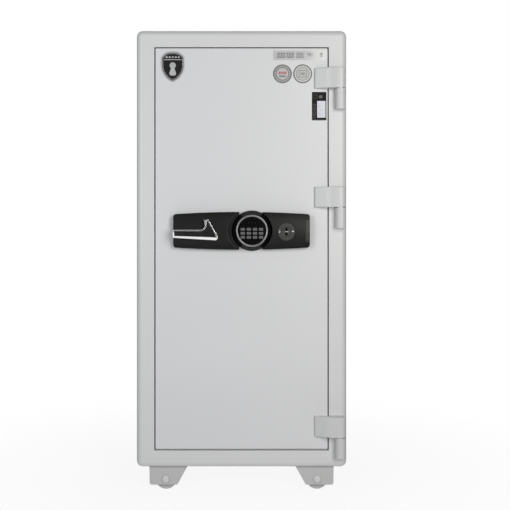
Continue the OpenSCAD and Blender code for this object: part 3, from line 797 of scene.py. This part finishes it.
# %% Print the keys
SIGNS = {"star": "*", "hash": "#"}
for key in KEYS:
    low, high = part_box("key_" + key)
    text = bpy.data.curves.new("digit_" + key, "FONT")
    text.body = SIGNS.get(key, key)
    text.size, text.extrude, text.resolution_u = 6.4 * MM, 0.03 * MM, 4
    text.align_x, text.align_y = "CENTER", "CENTER"
    carrier = bpy.data.objects.new("carrier", text)
    graph = bpy.context.evaluated_depsgraph_get()
    mesh = bpy.data.meshes.new_from_object(carrier.evaluated_get(graph), depsgraph=graph)
    bpy.data.objects.remove(carrier)
    mesh.transform(Matrix.Rotation(math.radians(90), 4, "X"))
    drop = 1.3 * MM if key == "star" else 0.0
    mesh.transform(Matrix.Translation((
        (low.x + high.x) / 2, low.y - 0.01 * MM, (low.z + high.z) / 2 - drop)))
    build = bmesh.new()
    build.from_mesh(mesh)
    bmesh.ops.remove_doubles(build, verts=build.verts, dist=0.004 * MM)
    bmesh.ops.recalc_face_normals(build, faces=build.faces)
    join_to(place("digit_" + key, build, ink_black), "key_" + key, "key_plastic")
print("printed", len(KEYS), "keys")

# %% [markdown]
# ## Display, key plate marks and shutter
# Above the keys is a dark window with three small lamps. The plate of the key lock has two bright
# marks for the locked and open places. The two openings of the keyway, one above the other, are
# dark plates of painted shade on the plug, and a bright shutter closes its middle.

# %% Small parts of the panel
face_front = (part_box("keypad_face")[0].y - FACE) / MM
plate_front = (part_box("key_escutcheon")[0].y - FACE) / MM
plug_front = (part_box("key_plug")[0].y - FACE) / MM
window = plate("keypad_window", round_box(PAD[0], PAD[1] + 20.6, 40, 12.4, 3), face_front - 0.5,
               face_front, window_black, 0.2)
join_to(window, "door", "face_plastic")
for number, x in enumerate((-9, 0, 9)):
    lamp = turned("keypad_lamp_%d" % (number + 1), (PAD[0] + x, PAD[1] + 20.6),
                  [(0, face_front - 0.9), (0.7, face_front - 0.85), (1.1, face_front - 0.5),
                   (0, face_front - 0.5)], disc_grey, 24)
    join_to(lamp, "door", "face_plastic")
chevron = [(-3.0, 3.2), (-1.4, 3.2), (1.6, 0), (-1.4, -3.2), (-3.0, -3.2), (0, 0)]
marks = {
    "key_mark_left": [(LOCK[0] - 17.4 + x, LOCK[1] + z) for x, z in chevron],
    "key_mark_right": round_box(LOCK[0] + 17.0, LOCK[1] + 0.6, 5.2, 3.0, 1.2),
}
for name, outline in marks.items():
    join_to(plate(name, outline, plate_front - 0.25, plate_front, mark_white), "door",
            "escutcheon_metal")
# Painted shade: dark plates on the face of the plug stand in for the two openings of the keyway.
for name, side in (("keyway_shade_upper", 1), ("keyway_shade_lower", -1)):
    lobe = plate(name, circle(LOCK[0], LOCK[1] + side * 6.3, 3.5, 32), plug_front - 0.12,
                 plug_front + 0.1, window_black)
    join_to(lobe, "lock_cylinder", "key_brass")
shutter = plate("key_shutter", round_box(LOCK[0] + 0.6, LOCK[1], 8.6, 1.7, 0.7), plug_front - 0.25,
                plug_front + 0.2, mark_white)
join_to(shutter, "lock_cylinder", "key_brass")
print("window, lamps, marks and shutter made")

# %% [markdown]
# ## A painted highlight beside the keypad
# The step on the left of the keypad ends in an edge that catches a highlight. A thin raised arc of
# lighter grey plastic stands on it as a painted highlight. It follows both the round step and the
# crown of the panel, so each of its points gets the depth of the crown at its own height.


# %% Crescent edge, a painted highlight
def crown_depth(z, rise=24.0, radius=160.0, middle_z=695.0):
    """Depth of the panel's crowned front at a height."""
    return radius - rise - math.sqrt(radius ** 2 - (z - middle_z) ** 2)


build, rows_made = bmesh.new(), []
for i in range(49):
    a = math.radians(121 + 118 * i / 48)
    ring = []
    for radius, rise in ((52.1, 0.5), (52.4, -0.45), (53.4, -0.45), (54.0, 0.5)):
        x, z = PAD[0] - 12.6 + radius * math.cos(a), PAD[1] + radius * math.sin(a)
        ring.append(build.verts.new(spot(x, crown_depth(z) + rise, z)))
    rows_made.append(ring)
for before, after in zip(rows_made, rows_made[1:]):
    for k in range(4):
        build.faces.new((before[k], before[(k + 1) % 4], after[(k + 1) % 4], after[k]))
build.faces.new(rows_made[0])
build.faces.new(rows_made[-1])
bmesh.ops.recalc_face_normals(build, faces=build.faces)
join_to(settle(place("panel_crescent_highlight", build, disc_grey)), "door", "panel_plastic")
print("crescent edge of", len(rows_made), "steps")

# %% [markdown]
# ## Small repeated parts with Geometry Nodes
# Rivets, screw heads, weld beads and sealing ribs all repeat one small shape along a path, which is
# what Geometry Nodes are for. Each recipe below has named inputs for its sizes, and ends by turning
# its instances into real geometry with a material. `grow` runs a recipe once and keeps the mesh.


# %% Geometry Nodes helpers
class Recipe(Graph):
    """A Geometry Nodes tree with named inputs."""

    def __init__(self, name, inputs):
        super().__init__(bpy.data.node_groups.new(name, "GeometryNodeTree"))
        self.codes = {}
        for title, kind in inputs.items():
            made = self.tree.interface.new_socket(name=title, in_out="INPUT",
                                                  socket_type="NodeSocket" + kind)
            self.codes[title] = made.identifier
        self.tree.interface.new_socket(name="Geometry", in_out="OUTPUT",
                                       socket_type="NodeSocketGeometry")
        self.given = self.tree.nodes.new("NodeGroupInput")

    def input(self, title):
        return Wire(self, self.given.outputs[title])

    def finish(self, geometry):
        real = self.node("GeometryNodeRealizeInstances", None, {0: geometry})
        dressed = self.node("GeometryNodeSetMaterial", None,
                            {0: real, "Material": self.input("Material")})
        end = self.tree.nodes.new("NodeGroupOutput")
        self.tree.links.new(dressed.socket, end.inputs[0])
        return self


def grow(name, recipe, values, body, slot, angle=40.0):
    """Runs a recipe with the given inputs and keeps the result as a plain piece."""
    piece = bpy.data.objects.new(name, bpy.data.meshes.new(name))
    bpy.context.scene.collection.objects.link(piece)
    run = piece.modifiers.new("recipe", "NODES")
    run.node_group = recipe.tree
    for title, value in values.items():
        run[recipe.codes[title]] = value
    graph = bpy.context.evaluated_depsgraph_get()
    piece.data = bpy.data.meshes.new_from_object(piece.evaluated_get(graph), depsgraph=graph)
    piece.modifiers.clear()
    piece.data.name = name
    piece.data.polygons.foreach_set("use_smooth", [True] * len(piece.data.polygons))
    piece.data.set_sharp_from_angle(angle=math.radians(angle))
    return join_to(piece, body, slot)


print("recipes can be grown")

# %% [markdown]
# ## Recipe one: heads around a rectangle
# Sheet panels are fixed by heads at an even spacing around their edge. The path is a rectangle, cut
# into equal steps, and a low turned head stands on every step, facing the way of the panel.

# %% Heads around a rectangle
heads = Recipe("heads around a rectangle", {
    "Width": "Float", "Height": "Float", "Spacing": "Float", "Radius": "Float", "Rise": "Float",
    "Place": "Vector", "Turn": "Vector", "Material": "Material"})
path = heads.node("GeometryNodeCurvePrimitiveQuadrilateral", {"mode": "RECTANGLE"},
                  {"Width": heads.input("Width"), "Height": heads.input("Height")})
steps = heads.node("GeometryNodeResampleCurve", {"mode": "LENGTH"},
                   {0: path, "Length": heads.input("Spacing")})
low_part = heads.node("GeometryNodeMeshCone", None, {
    "Vertices": 20, "Radius Top": heads.input("Radius") * 0.88,
    "Radius Bottom": heads.input("Radius"), "Depth": heads.input("Rise") * 0.55})
top_part = heads.node("GeometryNodeMeshCone", None, {
    "Vertices": 20, "Radius Top": heads.input("Radius") * 0.45,
    "Radius Bottom": heads.input("Radius") * 0.86, "Depth": heads.input("Rise") * 0.45})
lift_top = heads.node("ShaderNodeCombineXYZ", None, {2: heads.input("Rise") * 0.55})
raised = heads.node("GeometryNodeTransform", None, {0: top_part, "Translation": lift_top})
head = heads.node("GeometryNodeJoinGeometry", None, {0: low_part})
heads.tree.links.new(raised.socket, head.socket.node.inputs[0])
stood = heads.node("GeometryNodeInstanceOnPoints", None, {0: steps, "Instance": head})
heads.finish(heads.node("GeometryNodeTransform", None, {
    0: stood, "Translation": heads.input("Place"), "Rotation": heads.input("Turn")}))

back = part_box("back_panel")[1]
centre_z = sum(v.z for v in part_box("back_panel")) / 2
back_rivets = grow("back_rivets", heads, {
    "Width": 0.520, "Height": 1.124, "Spacing": 0.0935, "Radius": 0.0042, "Rise": 0.0018,
    "Place": (0, back.y - 0.0020, centre_z), "Turn": (-math.pi / 2, 0, 0),
    "Material": zinc_plate.material}, "cabinet", "steel")
liner_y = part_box("inner_liner")[1].y
grow("liner_rivets", heads, {
    "Width": 0.400, "Height": 1.000, "Spacing": 0.2, "Radius": 0.0035, "Rise": 0.0014,
    "Place": (0, liner_y - 0.0014, centre_z), "Turn": (math.pi / 2, 0, 0),
    "Material": inside_coat.material}, "cabinet", "interior_paint")
grow("pan_screws", heads, {
    "Width": 0.372, "Height": 0.976, "Spacing": 0.122, "Radius": 0.0035, "Rise": 0.0016,
    "Place": (0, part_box("door_pan")[1].y - 0.0001, centre_z), "Turn": (-math.pi / 2, 0, 0),
    "Material": zinc_plate.material}, "door", "steel")
print("heads:", len(back_rivets.data.polygons), "faces on the back")

# %% [markdown]
# ## Recipe two: beads along a line
# A weld is a row of overlapping drops. A line of points carries small flattened balls, each a
# little bigger or smaller than the next, with a fixed seed so that the weld never changes.

# %% Weld beads
beads = Recipe("beads along a line", {
    "Start": "Vector", "Step": "Vector", "Count": "Int", "Radius": "Float", "Seed": "Int",
    "Material": "Material"})
line = beads.node("GeometryNodeMeshLine", {"mode": "OFFSET"}, {
    "Count": beads.input("Count"), "Start Location": beads.input("Start"),
    "Offset": beads.input("Step")})
ball = beads.node("GeometryNodeMeshIcoSphere", None,
                  {"Radius": beads.input("Radius"), "Subdivisions": 2})
size = beads.node("FunctionNodeRandomValue", {"data_type": "FLOAT"}, {
    2: 0.85, 3: 1.2, "Seed": beads.input("Seed")}, 1)
drops = beads.node("GeometryNodeInstanceOnPoints", None, {0: line, "Instance": ball, "Scale": size})
beads.finish(drops)

HINGE_HEIGHTS = (148, 756, 1071)
for number, height in enumerate(HINGE_HEIGHTS):
    grow("hinge_weld_%d" % (number + 1), beads, {
        "Start": spot(249.6, -0.4, height - 51), "Step": (0, 0, 1.5 * MM), "Count": 33,
        "Radius": 1.1 * MM, "Seed": 7, "Material": hinge_shaded_coat.material}, "cabinet",
        "cabinet_paint", 80)
bracket_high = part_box("castor_brackets")[1]
weld_lines = (FACE + 0.0185, FACE + 0.0695, bracket_high.y - 0.0480, bracket_high.y + 0.0015)
for number, (sx, y) in enumerate([(sx, y) for sx in (-1, 1) for y in weld_lines]):
    grow("castor_weld_%d" % (number + 1), beads, {
        "Start": (sx * 0.150, y, bracket_high.z - 0.0008), "Step": (sx * 0.0022, 0, 0), "Count": 43,
        "Radius": 0.0016, "Seed": 11 + number, "Material": castor_coat.material}, "cabinet",
        "castor_paint", 80)
print("welds:", len(HINGE_HEIGHTS), "at the hinges and 8 under the floor")

# %% [markdown]
# ## Recipe three: a rounded rib round a rectangle
# The swelling seal has two soft ribs that face the door. A rectangle with round corners is swept
# with a small round profile, which gives one closed tube per rib.

# %% Sealing ribs
ribs = Recipe("rib round a rectangle", {
    "Width": "Float", "Height": "Float", "Corner": "Float", "Radius": "Float", "Place": "Vector",
    "Material": "Material"})
frame_path = ribs.node("GeometryNodeCurvePrimitiveQuadrilateral", {"mode": "RECTANGLE"},
                       {"Width": ribs.input("Width"), "Height": ribs.input("Height")})
cornered = ribs.node("GeometryNodeFilletCurve", {"mode": "POLY"}, {
    0: frame_path, "Count": 8, "Radius": ribs.input("Corner")})
profile = ribs.node("GeometryNodeCurvePrimitiveCircle", {"mode": "RADIUS"}, {
    "Resolution": 14, "Radius": ribs.input("Radius")})
tube = ribs.node("GeometryNodeCurveToMesh", None, {0: cornered, "Profile Curve": profile})
ribs.finish(ribs.node("GeometryNodeTransform", None, {
    0: tube, "Translation": ribs.input("Place"), "Rotation": (math.pi / 2, 0, 0)}))
seal_low, seal_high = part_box("fire_seal")
seal_z = (seal_low.z + seal_high.z) / 2
for number, inset in enumerate((4.0, 9.5)):
    grow("seal_rib_%d" % (number + 1), ribs, {
        "Width": seal_high.x - seal_low.x - 2 * inset * MM,
        "Height": seal_high.z - seal_low.z - 2 * inset * MM,
        "Corner": 0.004, "Radius": 0.0011, "Place": (0, seal_low.y + 0.0008, seal_z),
        "Material": seal_rubber.material}, "cabinet", "seal", 80)
print("two ribs on the seal")

# %% [markdown]
# ## Recipe four: ribs in a row
# The end of the battery tray has grip ribs for a fingernail: one short bar, repeated along a line.

# %% Grip ribs
rows = Recipe("bars in a row", {
    "Start": "Vector", "Step": "Vector", "Count": "Int", "Size": "Vector", "Material": "Material"})
row_line = rows.node("GeometryNodeMeshLine", {"mode": "OFFSET"}, {
    "Count": rows.input("Count"), "Start Location": rows.input("Start"),
    "Offset": rows.input("Step")})
bar = rows.node("GeometryNodeMeshCube", None, {"Size": rows.input("Size")})
rows.finish(rows.node("GeometryNodeInstanceOnPoints", None, {0: row_line, "Instance": bar}))
tray_low, tray_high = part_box("battery_tray")
tray_z = (tray_low.z + tray_high.z) / 2
grow("tray_grip", rows, {
    "Start": (tray_high.x, FACE - 0.010, tray_z - 0.0135), "Step": (0, 0, 0.003), "Count": 10,
    "Size": (0.0008, 0.012, 0.0012), "Material": panel_black.material},
    "battery_drawer", "panel_plastic")
print("grip ribs on the battery tray")

# %% [markdown]
# ## The studio
# The safe stands on a plain pale floor that fades into a white room. Two soft lamps stand in front,
# the right one a little stronger and warmer, so the round edges turn away into shade. A thin strip
# near the floor lifts the underside of the lever, and a lamp behind lights the back.


# %% Floor and room
def soft_lamp(name, place, target, power, width, height, tint=(1.0, 1.0, 1.0)):
    """A flat lamp at a place, turned to a target."""
    light = bpy.data.lights.new(name, "AREA")
    light.color = tint
    light.shape, light.size, light.size_y, light.energy = "RECTANGLE", width, height, power
    lamp = bpy.data.objects.new(name, light)
    lamp.location = place
    lamp.rotation_euler = (Vector(target) - Vector(place)).to_track_quat("-Z", "Y").to_euler()
    bpy.context.scene.collection.objects.link(lamp)
    return lamp


studio = bmesh.new()
bmesh.ops.create_circle(studio, cap_ends=True, segments=96, radius=3.2)
pale = Finish("pale floor", {"Roughness": 0.85})
flat_x, flat_y = pale.axes((0, 0, 0))[:2]
away = (flat_x * flat_x + flat_y * flat_y) ** 0.5
clear = pale.node("ShaderNodeBsdfTransparent")
pale.set(pale.blend(pale.noise(4.0), grey(0.90), grey(0.93)))
mixed = pale.node("ShaderNodeMixShader", None, {
    0: pale.ramp(away, 150, 1300, 0.88, 1.0), 1: Wire(pale, pale.shader.outputs[0]), 2: clear})
output = next(n for n in pale.tree.nodes if n.type == "OUTPUT_MATERIAL")
pale.tree.links.new(mixed.socket, output.inputs[0])
floor = place("floor", studio, pale)

world = bpy.data.worlds.new("white room")
world.use_nodes = True
room = Graph(world.node_tree)
world.node_tree.nodes.clear()
way = room.node("ShaderNodeTexCoord", out="Generated")
ways = room.node("ShaderNodeSeparateXYZ", None, {0: way}).socket.node.outputs
behind, up = Wire(room, ways[1]), Wire(room, ways[2])
steps_up = [(0.0, grey(1.0)), (0.12, grey(0.6)), (0.26, grey(0.14)), (0.5, grey(0.18)),
            (1.0, grey(0.20))]
glow = room.node("ShaderNodeValToRGB", {"stops": steps_up}, {0: up * 0.5 + 0.5})
rear = room.node("ShaderNodeMapRange", {"interpolation_type": "SMOOTHSTEP"}, {
    "Value": behind, "From Min": 0.0, "From Max": 0.9, "To Min": 0.0, "To Max": 0.16})
glow = glow + rear
seen = room.node("ShaderNodeLightPath", out="Is Camera Ray")
shown = room.node("ShaderNodeMix", {"data_type": "RGBA"}, {0: seen, 6: glow, 7: grey(1.0)}, 2)
sky = room.node("ShaderNodeBackground", None, {0: shown, 1: 1.0})
ends = room.tree.nodes.new("ShaderNodeOutputWorld")
room.tree.links.new(sky.socket, ends.inputs[0])
bpy.context.scene.world = world
bpy.context.scene.view_settings.view_transform = "Standard"

soft_lamp("right lamp", (0.90, -2.35, 1.10), (0, 0, 0.76), 29, 0.9, 1.3, (1.0, 0.99, 0.955))
soft_lamp("low lamp", (-0.25, -1.75, 0.14), (-0.05, -0.25, 0.70), 1.3, 1.2, 0.07)
soft_lamp("left lamp", (-1.35, -2.3, 1.10), (0, 0, 0.76), 19, 0.9, 1.3, (0.945, 0.985, 1.0))
soft_lamp("back lamp", (0.4, 2.8, 1.9), (0, 0, 0.7), 26, 2.2, 1.6)
print("floor, room and four lamps")

# %% [markdown]
# ## The camera
# The camera stands two and a half metres from the door, square to it and above its middle, as a
# buyer would. A lens shift sets the middle of the picture and keeps the safe's edges upright.

# %% Camera
WIDE, DISTANCE, EYE = 1356.5 * MM, 2.5, 0.72
AIM_X, AIM_Z = 35.8 * MM, 630.6 * MM
lens = bpy.data.cameras.new("camera")
lens.sensor_width = 36.0
lens.lens = lens.sensor_width * DISTANCE / WIDE
lens.shift_x, lens.shift_y = AIM_X / WIDE, (AIM_Z - EYE) / WIDE
camera = bpy.data.objects.new("camera", lens)
camera.location = (0, FACE - DISTANCE, EYE)
camera.rotation_euler = (math.radians(90), 0, 0)
bpy.context.scene.collection.objects.link(camera)
bpy.context.scene.camera = camera
print("lens of", round(lens.lens), "mm at", DISTANCE, "m")

# %% [markdown]
# ## The box of the solids
# The box of the CAD solids, measured when they were loaded, is printed. The finished model has to
# stay inside the box of the solids.

# %% Sizes
print("cad", [list(map(lambda v: round(v, 4), corner)) for corner in cad_box])
